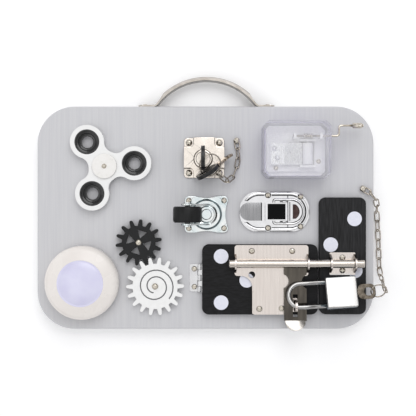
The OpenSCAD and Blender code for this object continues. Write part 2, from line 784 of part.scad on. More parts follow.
// cast plate with its cheeks and posts, on the case's floor
module music_bedplate() {
    color("#D9D8D6") difference() {
        translate([0, 0, face]) union() {
            translate([music_x, music_y, 0]) linear_extrude(music_floor - face) music_outline(music_wall + 0.4);
            difference() {
                translate([bed_from[0], bed_from[1], 0]) cube([bed_to[0] - bed_from[0], bed_to[1] - bed_from[1], bed_t]);
                translate([drum_x - 6.2, cheeks[0] + post_w - 0.2, music_floor - face])
                    cube([12.4, bed_to[1] - cheeks[0], 4]);
            }
            for (y = cheeks) translate([drum_x - 7, y, 0]) cube([14, post_w, drum_z - face + 3]);
            for (x = shaft_posts) translate([x, shaft_y - 2.6, 0]) cube([post_w, 5.2, shaft_z - face + 3]);
            translate([57, drum_from - 0.5, 0]) cube([12, drum_to - drum_from + 1, comb_z - face]);
        }
        translate([drum_x, 0, drum_z]) rotate([-90, 0, 0]) cylinder(d = drum_axle + 2 * run_gap, h = board_w, $fn = 32);
        translate([0, shaft_y, shaft_z]) rotate([0, 90, 0]) cylinder(d = crank_d + 2 * run_gap, h = board_w, $fn = 32);
        for (p = music_screw_at) translate([p[0], p[1], 0]) cylinder(d = screw_d + 0.4, h = board_w);
        for (p = comb_screw_at) translate([p[0], p[1], 0]) cylinder(d = 2 + 2 * press_gap, h = board_w, $fn = 32);
    }
}

comb_z = drum_z - 0.4;
comb_t = 0.9;
comb_teeth = 18;
comb_screw_at = [[60.8, 61.2], [63.7, 52.9]];

// steel comb: one tooth for each note, with its tips just off the drum
module music_comb() {
    pitch = (drum_to - drum_from) / comb_teeth;
    tip = drum_x - drum_d / 2 - 0.35;
    color("#DCDDE0") difference() {
        translate([58, drum_from, comb_z]) cube([tip - 58, drum_to - drum_from, comb_t]);
        for (k = [1 : comb_teeth - 1]) translate([70, drum_from + k * pitch - 0.15, 0]) cube([tip, 0.3, board_w]);
        for (p = comb_screw_at) translate([p[0], p[1], 0]) cylinder(d = 2.3, h = board_w, $fn = 32);
    }
    color("#C3CCE0") for (p = comb_screw_at) translate([p[0], p[1], comb_z + comb_t + 0.05])
        screw(d = 2, head = 4.4, head_h = 1.2, len = 4);
}

module music_drum() {
    color("#E4E0D2") translate([drum_x, 0, drum_z]) rotate([-90, 0, 0]) {
        translate([0, 0, cheeks[0] - 0.5]) cylinder(d = drum_axle, h = bed_to[1] - cheeks[0] - 0.5, $fn = 32);
        translate([0, 0, drum_from]) cylinder(d = drum_d, h = drum_to - drum_from);
        translate([0, 0, shaft_y - 1.5]) linear_extrude(3) difference() {
            circle(d = drum_gear_d);
            for (k = [0 : 15]) rotate(k * 22.5) translate([drum_gear_d / 2, 0]) circle(d = 1.1, $fn = 16);
        }
    }
}

// wire crank with its worm, bent twice at a right angle
module music_crank() {
    color("#D6D0C6") translate([0, shaft_y, shaft_z]) {
        translate([shaft_posts[0] - 0.6, 0, 0]) rotate([0, 90, 0])
            cylinder(d = crank_d, h = crank_x - crank_bend - shaft_posts[0] + 0.6, $fn = 32);
        translate([drum_x - 4, 0, 0]) rotate([0, 90, 0]) for (k = [0 : 3]) translate([0, 0, 2 * k])
            cylinder(d = worm_d, h = 1.2, $fn = 32);
        translate([crank_x - crank_bend, crank_bend, 0]) rotate(-90)
            rotate_extrude(angle = 90) translate([crank_bend, 0]) circle(d = crank_d, $fn = 32);
        translate([crank_x, crank_bend, 0]) rotate([-90, 0, 0])
            cylinder(d = crank_d, h = crank_arm - 2 * crank_bend, $fn = 32);
        translate([crank_x + crank_bend, crank_arm - crank_bend, 0]) rotate(90)
            rotate_extrude(angle = 90) translate([crank_bend, 0]) circle(d = crank_d, $fn = 32);
        translate([crank_x + crank_bend, crank_arm, 0]) rotate([0, 90, 0])
            cylinder(d = crank_d, h = knob_from - slide_gap - crank_x - crank_bend, $fn = 32);
        translate([crank_x + crank_bend, crank_arm, 0]) rotate([0, 90, 0])
            cylinder(d = crank_pin_d, h = knob_to + slide_gap - crank_x - crank_bend + 0.4, $fn = 32);
        translate([knob_to + slide_gap, crank_arm, 0]) rotate([0, 90, 0]) cylinder(d = 3, h = 0.8, $fn = 32);
    }
}

module crank_knob() {
    color("#C9C2B6") translate([knob_from, shaft_y + crank_arm, shaft_z]) rotate([0, 90, 0]) difference() {
        slab_corner(knob_d / 2, knob_to - knob_from, 0.5);
        translate([0, 0, -1]) cylinder(d = crank_pin_d + 2 * run_gap, h = knob_to, $fn = 32);
    }
}

// ---------------------------------------------------------------- caster

caster_x = 0.8;
caster_y = 2.9;
caster_plate_t = 1.6;
caster_screw_at = [for (sx = [-1, 1], sy = [-1, 1]) [caster_x + sx * (caster_w / 2 - 3.7), caster_y + sy * (caster_l / 2 - 4)]];
race_z = face + caster_plate_t;
race_h = 4;
fork_z = race_z + race_h + slide_gap;
fork_t = 1.8;
fork_d = 24;
kingpin_d = 6;
axle_z = face + 20.5;
axle_d = 4;
fork_arm_t = 1.4;
fork_in = wheel_w / 2 + 0.9;

module at_caster() { translate([caster_x, caster_y, 0]) children(); }

module caster_plate() {
    waist = 34;
    dip = 2.2;
    color("#CDD6DC") at_caster() difference() {
        union() {
            translate([0, 0, face]) linear_extrude(caster_plate_t) difference() {
                round_rect(caster_w, caster_l, 4);
                for (s = [-1, 1]) translate([s * (caster_w / 2 + waist - dip), 0]) circle(r = waist, $fn = fine);
                for (s = [-1, 1]) translate([0, s * (caster_l / 2 + waist - dip * 0.6)]) circle(r = waist, $fn = fine);
            }
            translate([0, 0, face + 0.5]) rotate_extrude() polygon([[0, 0], [fork_d / 2 + 1.6, 0],
                [fork_d / 2 + 1.6, caster_plate_t], [fork_d / 2 - 0.4, race_z + race_h - face - 0.5],
                [0, race_z + race_h - face - 0.5]]);
        }
        for (p = caster_screw_at) translate([p[0] - caster_x, p[1] - caster_y, 0])
            cylinder(d = screw_d + 0.4, h = board_w);
        cylinder(d = kingpin_d + 2 * press_gap, h = board_w);
    }
}

module fork_arm() {
    linear_extrude(fork_arm_t) difference() {
        hull() {
            translate([-caster_trail, axle_z]) circle(d = 10.5, $fn = 48);
            translate([-8.6, fork_z]) square([11.5, fork_t]);
        }
        translate([-caster_trail, axle_z]) circle(d = axle_d + 2 * press_gap, $fn = 48);
    }
}

module caster_fork() {
    color("#C4D0D8") at_caster() {
        difference() {
            translate([0, 0, fork_z]) rotate_extrude() polygon([[0, 0], [fork_d / 2 - 1.4, 0], [fork_d / 2, 0.9],
                [fork_d / 2, fork_t], [fork_d / 2 - 2.4, fork_t], [fork_d / 2 - 4, fork_t - 0.7], [7.4, fork_t - 0.7],
                [6.6, fork_t], [0, fork_t]]);
            cylinder(d = kingpin_d + 2 * run_gap, h = board_w);
        }
        translate([0, -fork_in, 0]) rotate([90, 0, 0]) fork_arm();
        translate([0, fork_in + fork_arm_t, 0]) rotate([90, 0, 0]) fork_arm();
    }
}

// riveted pin that holds the fork and lets it swivel
module caster_kingpin() {
    color("#E3E7EA") at_caster() {
        translate([0, 0, face + 0.3]) cylinder(d = kingpin_d, h = fork_z + fork_t + slide_gap - face - 0.2);
        translate([0, 0, fork_z + fork_t + slide_gap]) slab_corner(4.8, 1.8, 0.7);
    }
}

module at_axle() { translate([caster_x - caster_trail, caster_y, axle_z]) rotate([90, 0, 0]) children(); }

module caster_wheel() {
    h = wheel_w / 2;
    r = wheel_d / 2;
    color("#242527") at_axle() rotate_extrude($fn = 96) polygon([[axle_d / 2 + run_gap, -h + 0.2], [4.4, -h + 0.2],
        [4.4, -h + 1.8], [r - 3.2, -h + 1.8], [r - 2.6, -h], [r - 1.2, -h], [r - 0.3, -h + 0.9], [r, -h + 2.4],
        [r, h - 2.4], [r - 0.3, h - 0.9], [r - 1.2, h], [r - 2.6, h], [r - 3.2, h - 1.8], [4.4, h - 1.8],
        [4.4, h - 0.2], [axle_d / 2 + run_gap, h - 0.2]]);
}

module caster_axle() {
    reach = fork_in + fork_arm_t;
    color("#9DA6AC") at_axle() {
        translate([0, 0, -reach - 0.05]) cylinder(d = axle_d, h = 2 * reach + 0.1);
        for (s = [-1, 1]) translate([0, 0, s * (reach + 0.7)]) cylinder(d = 6.4, h = 1.3, center = true);
    }
}

// ---------------------------------------------------------------- toggle latch

latch_x = 61.5;
latch_y = 5.4;
latch_split = 73.3;
latch_plate = 1.2;
latch_rim = 2.6;
lever_pin = [69.8, face + 5.2];
bail_pin = [60.8, face + 4.4];
lever_pin_d = 2;
lever_end = 72.3;
lever_top = face + 8.6;
lever_t = 1.2;
lever_tip = latch_x - latch_w / 2;
fold_x = 51;
ear_in = lever_w / 2 + slide_gap;
ear_t = 1;
bail_half = ear_in + ear_t + 0.5 + bail_d / 2;
hook_x = 76;
hook_r = bail_half - bail_d / 2 - slide_gap;
hook_top = face + 6.4;
insert_w = 15.4;
insert_from = 54.8;
insert_to = 70.6;
latch_screw_at = [[55.7, latch_y + 14.6], [55.7, latch_y - 14.6], [84.6, latch_y + 13.2], [84.6, latch_y - 13.2]];

module latch_outline() { translate([latch_x, latch_y]) round_rect(latch_w, latch_l, 15.6, $fn = fine); }

module latch_half(from, to) {
    difference() {
        translate([0, 0, face]) {
            linear_extrude(latch_plate) latch_outline();
            linear_extrude(latch_rim) difference() {
                offset(-0.6) latch_outline();
                offset(-2.6) latch_outline();
            }
        }
        translate([-board_w, -board_w, 0]) cube([board_w + from, 2 * board_w, board_w]);
        translate([to, -board_w, 0]) cube([board_w, 2 * board_w, board_w]);
        for (p = latch_screw_at) translate([p[0], p[1], 0]) cylinder(d = screw_d + 0.4, h = board_w);
        for (p = latch_screw_at) translate([p[0], p[1], face + latch_plate]) cylinder(d = screw_head + 1, h = board_w);
    }
}

module latch_base() {
    color("#D3D3D5") {
        difference() {
            latch_half(-board_w / 2, latch_split - 0.4);
            translate([lever_tip - 1, latch_y - lever_w / 2 - 0.5, face + latch_plate])
                cube([12, lever_w + 1, latch_rim]);
        }
        for (s = [-1, 1]) translate([0, latch_y + s * (ear_in + ear_t / 2) + ear_t / 2, 0]) rotate([90, 0, 0])
            linear_extrude(ear_t) difference() {
                hull() {
                    translate(lever_pin) circle(d = 4.8, $fn = 48);
                    translate([lever_pin[0] - 3.6, face + 0.5]) square([7, 0.6]);
                }
                translate(lever_pin) circle(d = lever_pin_d + 2 * press_gap, $fn = 48);
            }
    }
}

module latch_catch() {
    color("#D3D3D5") {
        latch_half(latch_split + 0.4, board_w / 2);
        difference() {
            translate([0, 0, face + 0.5]) linear_extrude(hook_top - face - 0.5) hook_outline(0);
            translate([0, 0, hook_top - 2.6]) linear_extrude(board_w) hook_outline(2.2);
        }
    }
}

// half-moon block that the wire bail is drawn round
module hook_outline(shrink) {
    intersection() {
        translate([hook_x, latch_y]) circle(r = hook_r - shrink, $fn = 96);
        translate([hook_x - 1 + shrink, latch_y - 8.6 + shrink]) square([2 * hook_r, 17.2 - 2 * shrink]);
    }
}

// pressed lever: finger tongue, fold and framed top, with a side flange on each side
module latch_lever() {
    half = lever_w / 2;
    color("#C2C3C5") translate([0, latch_y, 0]) difference() {
        union() {
            intersection() {
                rotate([90, 0, 0]) translate([0, 0, -half]) linear_extrude(lever_w) polygon([
                    [lever_tip, lever_top - 3.4], [lever_tip + 8, lever_top - 3], [fold_x - 2, lever_top - 2.2],
                    [fold_x - 0.6, lever_top - lever_t], [lever_end, lever_top - lever_t], [lever_end, lever_top],
                    [fold_x + 1.8, lever_top], [fold_x + 1.2, lever_top + 0.6], [fold_x - 1.2, lever_top + 0.6],
                    [fold_x - 2, lever_top - 1], [lever_tip + 8, lever_top - 1.8], [lever_tip, lever_top - 2.2]]);
                union() {
                    translate([lever_tip + half, 0, 0]) cylinder(d = lever_w, h = board_w, $fn = 96);
                    translate([lever_tip + half, -half, 0]) cube([board_w, lever_w, board_w]);
                }
            }
            for (s = [-1, 1]) translate([0, s * (half - 0.5) + 0.5, 0]) rotate([90, 0, 0]) linear_extrude(1) union() {
                hull() for (p = [lever_pin, bail_pin]) translate(p) circle(d = 4.4, $fn = 48);
                translate([bail_pin[0] - 2, bail_pin[1]]) square([lever_end - bail_pin[0] + 2, lever_top - 0.5 - bail_pin[1]]);
            }
        }
        translate([insert_from, -insert_w / 2 + 0.8, lever_top - 0.8]) cube([insert_to - insert_from, insert_w - 1.6, 2]);
        for (p = [lever_pin, bail_pin]) translate([p[0], board_w / 2, p[1]]) rotate([90, 0, 0])
            cylinder(d = (p == lever_pin ? lever_pin_d : bail_d) + 2 * run_gap, h = board_w, $fn = 48);
    }
}

module latch_insert() {
    color("#0E0F12") translate([insert_from + press_gap, latch_y - insert_w / 2 + 0.8 + press_gap, lever_top - 0.8])
        cube([insert_to - insert_from - 2 * press_gap, insert_w - 1.6 - 2 * press_gap, 1]);
}

module latch_pin() {
    color("#B9BABC") translate([lever_pin[0], latch_y + ear_in + ear_t + 0.3, lever_pin[1]]) rotate([90, 0, 0])
        cylinder(d = lever_pin_d, h = 2 * (ear_in + ear_t + 0.3), $fn = 48);
}

// closed wire bail: cross bar in the lever, two straight sides and a half round
module latch_bail() {
    bend = 1.6;
    color("#D9D9DB") translate([0, latch_y, bail_pin[1]]) {
        translate([bail_pin[0], bail_half - bend, 0]) rotate([90, 0, 0])
            cylinder(d = bail_d, h = 2 * (bail_half - bend), $fn = 32);
        for (s = [0, 1]) mirror([0, s, 0]) {
            translate([bail_pin[0] + bend, bail_half - bend, 0]) rotate(90) rotate_extrude(angle = 90)
                translate([bend, 0]) circle(d = bail_d, $fn = 32);
            translate([bail_pin[0] + bend, bail_half, 0]) rotate([0, 90, 0])
                cylinder(d = bail_d, h = hook_x - bail_pin[0] - bend, $fn = 32);
        }
        translate([hook_x, 0, 0]) rotate(-90) rotate_extrude(angle = 180, $fn = 96)
            translate([bail_half, 0]) circle(d = bail_d, $fn = 32);
    }
}

// ---------------------------------------------------------------- door and side panel

door_x = -3;
door_y = -23.6;
side_x = 100.7;
side_y = 18;
panel_r = 6;
door_lift = slide_gap;
door_top = face + door_lift + panel_t;
side_top = face + panel_t;
dot_t = 0.4;
door_dot_at = [[13.8, -34.2], [13.8, -75.2], [36.5, -55.4]];
side_dot_at = [[132, -1.0], [110.9, -23.9], [132.6, -47]];

module door_panel() {
    color("#1C1C1E") difference() {
        translate([door_x + door_w / 2, door_y - door_l / 2, face + door_lift]) slab(door_w, door_l, panel_t, panel_r, 0.6);
        for (p = door_dot_at) translate([p[0], p[1], door_top - dot_t]) cylinder(d = dot_d + 2 * press_gap, h = 2);
        for (p = bolt_screw_at) translate([p[0], p[1], door_top]) screw_hole(len = panel_screw_len);
    }
}

module side_panel() {
    color("#222224") difference() {
        translate([side_x + side_w / 2, side_y - side_l / 2, face]) slab(side_w, side_l, panel_t, panel_r, 0.6);
        for (p = side_dot_at) translate([p[0], p[1], side_top - dot_t]) cylinder(d = dot_d + 2 * press_gap, h = 2);
        for (p = keeper_screw_at) translate([p[0], p[1], side_top]) screw_hole(len = panel_screw_len);
    }
}

module door_dots() {
    color("#E6E8F3") for (p = door_dot_at) translate([p[0], p[1], door_top - dot_t]) cylinder(d = dot_d, h = dot_t);
}

module panel_dots() {
    color("#E6E8F3") for (p = side_dot_at) translate([p[0], p[1], side_top - dot_t]) cylinder(d = dot_d, h = dot_t);
}

// small butt hinge: one leaf on the board, one on the door's edge
hinge_from = -66;
hinge_to = -41.1;
hinge_t = 1;
knuckle_d = 3.4;
hinge_pin_d = 1.6;
hinge_axis = [door_x - 2.4, face + 2];
knuckles = 5;
hinge_screw_at = [[-10, -45.6], [-10, -61.6]];
hinge_leaf_x = -14.2;

module knuckle_row(first) {
    pitch = (hinge_to - hinge_from) / knuckles;
    difference() {
        for (k = [first : 2 : knuckles - 1]) translate([hinge_axis[0], hinge_from + k * pitch + 0.15, hinge_axis[1]])
            rotate([-90, 0, 0]) cylinder(d = knuckle_d, h = pitch - 0.3, $fn = 48);
        children();
    }
}

module hinge_bore(room) {
    translate([hinge_axis[0], hinge_from - 2, hinge_axis[1]]) rotate([-90, 0, 0])
        cylinder(d = hinge_pin_d + 2 * room, h = hinge_to - hinge_from + 4, $fn = 48);
}

// the board leaf carries the pin, which is pressed into its knuckles
module hinge_board_leaf() {
    pitch = (hinge_to - hinge_from) / knuckles;
    color("#D5D3D0") {
        difference() {
            union() {
                translate([(hinge_leaf_x + hinge_axis[0]) / 2, (hinge_from + hinge_to) / 2, face])
                    linear_extrude(hinge_t) round_rect(hinge_axis[0] - hinge_leaf_x, hinge_to - hinge_from - 0.3, 2);
                knuckle_row(0);
            }
            for (p = hinge_screw_at) translate([p[0], p[1], 0]) cylinder(d = screw_d + 0.4, h = board_w);
            for (k = [1 : 2 : knuckles - 1]) translate([hinge_axis[0] - knuckle_d / 2 - 0.3,
                hinge_from + k * pitch - 0.15, 0]) cube([knuckle_d + 1, pitch + 0.3, board_w]);
        }
        translate([hinge_axis[0], hinge_from + 0.3, hinge_axis[1]]) rotate([-90, 0, 0])
            cylinder(d = hinge_pin_d, h = hinge_to - hinge_from - 0.6, $fn = 48);
    }
}

module hinge_door_leaf() {
    pitch = (hinge_to - hinge_from) / knuckles;
    color("#D5D3D0") difference() {
        union() {
            knuckle_row(1);
            translate([door_x - 0.5, hinge_from + 0.3, face + door_lift + 0.3])
                cube([0.5, hinge_to - hinge_from - 0.6, panel_t - 0.9]);
            for (k = [1 : 2 : knuckles - 1]) translate([hinge_axis[0], hinge_from + k * pitch + 0.15, hinge_axis[1]
                + knuckle_d / 2 - 0.9]) cube([door_x - hinge_axis[0] - 0.1, pitch - 0.3, 0.9]);
        }
        hinge_bore(run_gap);
    }
}

// ---------------------------------------------------------------- bolt

rod_y = -40.4;
rod_z = face + 13;
rod_from = 20.7;
rod_to = 139.4;
bolt_x = 58.3;
flange_w = 65.2;
foot_w = 34.2;
plate_top_y = -24.2;
shoulder_y = -51.4;
plate_end_y = -85.6;
plate_z = door_top;
ear_w = 17;
panel_screw_len = 5;
bolt_screw_at = [[40.9, -29.4], [76.6, -29.4], [47.6, -80.6], [67.4, -80.2]];
keeper_screw_at = [[121, -35.2], [121, -46.5]];

module bolt_plate_outline() {
    offset(r = 2.5, $fn = 64) offset(r = -2.5, $fn = 64) offset(r = -10, $fn = 96) offset(r = 10, $fn = 96) union() {
        translate([bolt_x - flange_w / 2, shoulder_y]) square([flange_w, plate_top_y - shoulder_y]);
        translate([bolt_x - foot_w / 2, plate_end_y]) square([foot_w, plate_top_y - plate_end_y]);
    }
    translate([bolt_x, lug_at[1] - 6]) square([lug_at[0] + 4 - bolt_x, 12]);
}

// an upright ear with a hole for the rod, standing at x
module rod_ear(x, base_z, wide, room) {
    translate([x - plate_t / 2, rod_y, 0]) rotate([90, 0, 90]) linear_extrude(plate_t) difference() {
        hull() {
            translate([0, rod_z]) circle(d = rod_d + 4.4, $fn = 64);
            translate([-wide / 2, base_z]) square([wide, 1]);
        }
        translate([0, rod_z]) circle(d = rod_d + 2 * room, $fn = 64);
    }
}

module bolt_plate() {
    color("#BEB7B0") {
        difference() {
            translate([0, 0, plate_z]) linear_extrude(plate_t) bolt_plate_outline();
            for (p = bolt_screw_at) translate([p[0], p[1], 0]) cylinder(d = screw_d + 0.4, h = board_w);
            translate([40.9, -50.4, 0]) cylinder(d = 6, h = board_w);
        }
        for (s = [-1, 1]) rod_ear(bolt_x + s * (flange_w - plate_t) / 2, plate_z, ear_w, run_gap);
        translate([bolt_x - foot_w / 2 - 0.01, plate_end_y + 1, plate_z]) cube([1.2, 19, plate_t + 2.2]);
        difference() {
            translate([lug_at[0] - lug_t / 2, lug_at[1] - lug_w / 2, plate_z]) cube([lug_t, lug_w, lug_at[2] - plate_z]);
            lug_bore();
        }
        difference() {
            translate([lug_at[0] - lug_t / 2, lug_at[1], lug_at[2]]) rotate([0, 90, 0]) cylinder(d = lug_w, h = lug_t);
            lug_bore();
        }
    }
}

// the rod and the hasp tab welded to it
tab_z = plate_z + plate_t + 1.5;
tab_x = 79.1;
tab_end = -90.8;
tab_slot_w = 4.2;
tab_slot = [-87.3, -67.4];
lip_l = 9.4;
lip_lift = 20;

module bolt_rod() {
    color("#C6BFB8") translate([rod_from, rod_y, rod_z]) rotate([0, 90, 0]) slab_corner(rod_d / 2, rod_to - rod_from, 0.6);
    color("#5E5A54") {
        difference() {
            translate([tab_x - tab_w / 2, tab_end, tab_z]) cube([tab_w, rod_y - tab_end, tab_t]);
            for (s = [-1, 1]) translate([tab_x + s * (tab_w / 2 + 2.2), -56.2, 0]) cylinder(d = 13, h = board_w);
            translate([lug_at[0] - tab_slot_w / 2, tab_slot[0], 0]) cube([tab_slot_w, tab_slot[1] - tab_slot[0], board_w]);
        }
        translate([tab_x, tab_end, tab_z]) rotate([-lip_lift, 0, 0]) intersection() {
            translate([-tab_w / 2 + 1, -lip_l, 0]) cube([tab_w - 2, lip_l + 0.6, tab_t]);
            translate([0, 0, -1]) cylinder(r = lip_l, h = tab_t + 2, $fn = 96);
        }
    }
}

module keeper() {
    keeper_from = 109.6;
    keeper_to = 132.4;
    keeper_l = 19.8;
    color("#C9C2BB") {
        difference() {
            translate([(keeper_from + keeper_to) / 2, rod_y - 0.2, side_top]) linear_extrude(plate_t)
                round_rect(keeper_to - keeper_from, keeper_l, 1);
            for (p = keeper_screw_at) translate([p[0], p[1], 0]) cylinder(d = screw_d + 0.4, h = board_w);
        }
        for (x = [keeper_from + plate_t / 2 + 0.02, keeper_to - plate_t / 2 - 0.02]) rod_ear(x, side_top, ear_w, keeper_room);
    }
}
keeper_room = 0.4;

// ---------------------------------------------------------------- padlock

// the padlock's own frame: origin in the middle of the shackle's bend, X along the legs
bend_at = [83, -67.8, 31.2];
padlock_turn = 3.4;
padlock_roll = -15;
shackle_r = shackle_gap / 2;
body_from = 21.9;
padlock_pop = 5;             // how far the body drops from the shackle when it opens
long_leg = 20;
short_leg = 9;
padlock_plug_d = 8;
padlock_key_t = 2;
bow_from = 50.2;
bow_to = 65.6;
bow_w = 13.2;
bow_hole = [55.6, 63.5];
bow_hole_w = 7.4;
pull_ring_r = 6.4;
pull_ring_at = bow_hole[1] - 1.8;
lug_angle = 244;             // where the bend passes through the lug, round the bend
lug_t = 2;
lug_w = 10;
lug_hole_d = 6.4;
lug_at = bend_at + padlock_point(shackle_r * cos(lug_angle), shackle_r * sin(lug_angle));

// a point of the padlock's middle plane, turned into the board's directions
function padlock_point(x, y) = let (yr = y * cos(padlock_roll), zr = y * sin(padlock_roll))
    [x * cos(padlock_turn) - yr * sin(padlock_turn), x * sin(padlock_turn) + yr * cos(padlock_turn), zr];

module at_padlock() { translate(bend_at) rotate(padlock_turn) rotate([padlock_roll, 0, 0]) children(); }

module lug_bore() {
    translate([lug_at[0] - lug_t, lug_at[1], lug_at[2]]) rotate([0, 90, 0]) cylinder(d = lug_hole_d, h = 2 * lug_t);
}

module leg(s, depth, wide) {
    translate([0, s * shackle_r, 0]) rotate([0, 90, 0]) cylinder(d = wide, h = body_from + depth, $fn = 48);
}

module padlock_shackle() {
    color("#D5D2CD") at_padlock() difference() {
        union() {
            rotate(90) rotate_extrude(angle = 180, $fn = 96) translate([shackle_r, 0]) circle(d = shackle_d, $fn = 48);
            leg(1, long_leg, shackle_d);
            leg(-1, short_leg, shackle_d);
        }
        translate([body_from + short_leg - 4, -shackle_r + shackle_d * 0.3, -shackle_d]) cube([2, shackle_d, 2 * shackle_d]);
    }
}

module padlock_body() {
    color("#DEDCD8") at_padlock() difference() {
        translate([body_from + padlock_l / 2, 0, -padlock_t / 2]) slab(padlock_l, padlock_w, padlock_t, 1.6, 0.8);
        leg(1, long_leg + 1, shackle_d + 2 * run_gap);
        leg(-1, short_leg + 1, shackle_d + 2 * run_gap);
        translate([body_from + padlock_l - 15, 0, 0]) rotate([0, 90, 0])
            cylinder(d = padlock_plug_d + 2 * run_gap, h = 30, $fn = 64);
    }
}

// the key with the plug that it turns
module padlock_key() {
    plug_from = body_from + padlock_l - 14.6;
    plug_to = body_from + padlock_l + 0.3;
    color("#8E8778") at_padlock() {
        translate([plug_from, 0, 0]) rotate([0, 90, 0]) slab_corner(padlock_plug_d / 2, plug_to - plug_from, 0.4);
        translate([plug_to - 0.5, -2.6, -padlock_key_t / 2]) cube([bow_from - plug_to + 3, 5.2, padlock_key_t]);
        translate([0, 0, -padlock_key_t / 2]) linear_extrude(padlock_key_t) difference() {
            translate([(bow_from + bow_to) / 2, 0]) round_rect(bow_to - bow_from, bow_w, 4.5);
            translate([(bow_hole[0] + bow_hole[1]) / 2, 0])
                round_rect(bow_hole[1] - bow_hole[0], bow_hole_w, bow_hole_w / 2 - 0.01);
        }
    }
}

// ---------------------------------------------------------------- plate screws

// screws of the chains, music box, caster, latch, hinge and keeper
module plate_screws() {
    color("#CFCAC3") {
        for (p = [lock_chain_screw, padlock_chain_screw])
            translate([p[0], p[1], face + chain_screw_lift]) rotate(20) screw(d = chain_screw_d, head = 5.4);
        for (p = music_screw_at) translate([p[0], p[1], face + bed_t]) screw(head = 4.4);
        for (p = caster_screw_at) translate([p[0], p[1], face + caster_plate_t]) rotate(p[1] * 9) screw(head = 5.2);
        for (p = latch_screw_at) translate([p[0], p[1], face + latch_plate]) rotate(p[0] * 5) screw(head = 5.4);
        for (p = hinge_screw_at) translate([p[0], p[1], face + hinge_t]) rotate(p[1] * 4) screw(head = 5);
        for (p = keeper_screw_at) translate([p[0], p[1], side_top + plate_t])
            rotate(p[1] * 3) screw(head = 5.4, head_h = 1.3, len = panel_screw_len);
    }
}

module bolt_screws() {
    color("#CFCAC3") for (p = bolt_screw_at) translate([p[0], p[1], plate_z + plate_t])
        rotate(p[0]) screw(head = 5.4, head_h = 1.3, len = panel_screw_len);
}

board();
handle();
handle_screws();
spinner_body();
spinner_weights();
spinner_bearing_outer();
spinner_bearing_inner();
spinner_cap();
spinner_screw();
gear_white();
gear_black();
gear_screws();
gear_washers();
light_base();
light_bezel();
light_lens();
light_circuit();
light_batteries();
lock_case();
lock_backplate();
lock_barrel();
lock_plug();
lock_bolt();
lock_key();
lock_screws();
spare_key();
spare_key_ring();
lock_chain();
music_case();
music_bedplate();
music_comb();
music_drum();
music_crank();
crank_knob();
caster_plate();
caster_fork();
caster_kingpin();
caster_wheel();
caster_axle();
latch_base();
latch_catch();
latch_lever();
latch_insert();
latch_bail();
latch_pin();
door_panel();
side_panel();
panel_dots();
door_dots();
hinge_board_leaf();
hinge_door_leaf();
bolt_plate();
bolt_rod();
keeper();
padlock_body();
padlock_shackle();
padlock_key();
padlock_chain();
bolt_screws();
plate_screws();
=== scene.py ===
import bpy
import json
import math
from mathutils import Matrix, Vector

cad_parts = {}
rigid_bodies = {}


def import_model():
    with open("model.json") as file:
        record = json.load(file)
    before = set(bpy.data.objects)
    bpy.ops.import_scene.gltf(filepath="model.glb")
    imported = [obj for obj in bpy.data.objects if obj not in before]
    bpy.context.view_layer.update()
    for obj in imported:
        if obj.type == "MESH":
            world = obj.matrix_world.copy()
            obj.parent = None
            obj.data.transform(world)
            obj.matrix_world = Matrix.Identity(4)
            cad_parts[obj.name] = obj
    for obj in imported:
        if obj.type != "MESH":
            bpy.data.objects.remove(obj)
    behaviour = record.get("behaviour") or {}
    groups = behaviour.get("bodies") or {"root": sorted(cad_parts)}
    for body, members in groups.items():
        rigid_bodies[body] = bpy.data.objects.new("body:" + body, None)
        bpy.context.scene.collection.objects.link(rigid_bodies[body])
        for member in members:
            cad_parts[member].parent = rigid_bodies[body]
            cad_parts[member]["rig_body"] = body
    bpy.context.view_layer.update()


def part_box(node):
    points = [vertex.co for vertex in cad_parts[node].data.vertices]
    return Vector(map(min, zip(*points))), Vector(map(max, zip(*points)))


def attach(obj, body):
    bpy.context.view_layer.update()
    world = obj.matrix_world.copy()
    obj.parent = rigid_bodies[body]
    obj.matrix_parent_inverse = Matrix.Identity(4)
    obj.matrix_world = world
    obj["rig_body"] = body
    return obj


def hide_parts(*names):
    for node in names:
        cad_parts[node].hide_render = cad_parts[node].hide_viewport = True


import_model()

# ---------------------------------------------------------------- studio
# The board lies on a white table and is photographed from straight above with a long lens. A large
# soft lamp stands beyond the handle. The metal mirrors white walls with two darker gaps in them.

MM = 0.001
scene = bpy.context.scene
scene.view_settings.view_transform = "Standard"


def colour(text):
    """An sRGB hex value as a linear colour."""
    parts = [int(text[i:i + 2], 16) / 255 for i in (1, 3, 5)]
    return [p / 12.92 if p <= 0.04045 else ((p + 0.055) / 1.055) ** 2.4 for p in parts] + [1.0]


def add(owner, kind, links=None, **settings):
    """Adds a node. Settings name its properties or sockets, and links join its sockets to others."""
    made = owner.node_tree.nodes.new(kind)
    for name, value in settings.items():
        if hasattr(made, name):
            setattr(made, name, value)
        else:
            made.inputs[name.replace("_", " ")].default_value = value
    for socket, source in (links or {}).items():
        owner.node_tree.links.new(source, made.inputs[socket])
    return made


camera_data = bpy.data.cameras.new("camera")
camera_data.lens = 72.7
camera_data.sensor_width = 36
camera = bpy.data.objects.new("camera", camera_data)
camera.location = (2.2 * MM, 8.6 * MM, 765 * MM)
scene.collection.objects.link(camera)
scene.camera = camera

